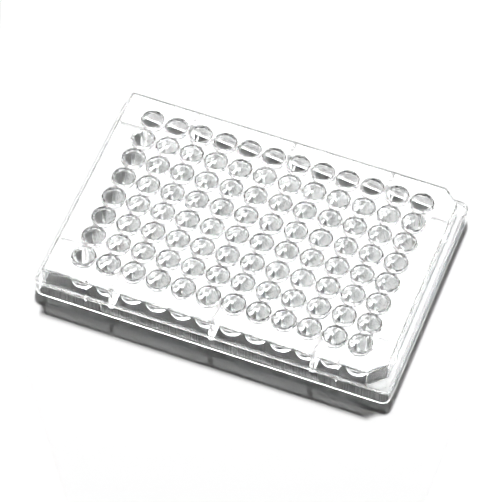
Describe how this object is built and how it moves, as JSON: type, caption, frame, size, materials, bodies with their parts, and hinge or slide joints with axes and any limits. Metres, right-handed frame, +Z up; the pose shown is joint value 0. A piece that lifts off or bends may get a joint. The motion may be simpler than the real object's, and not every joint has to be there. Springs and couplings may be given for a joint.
{
  "type": "well plate",
  "caption": "Clear flat-bottomed microplate: a skirted tray whose deck carries a grid of raised round wells, with two cut deck corners.",
  "frame": {"origin": "centre of the rectangular footprint, on the table", "axes": "+X along the rows of twelve towards the two cut deck corners, +Y towards the back row, +Z up out of the wells"},
  "size_m": [0.1278, 0.0854, 0.0143],
  "materials": {
    "clear_polystyrene": "clear, polished moulding"
  },
  "bodies": {
    "root": {"well_plate": "clear_polystyrene"}
  },
  "joints": []
}
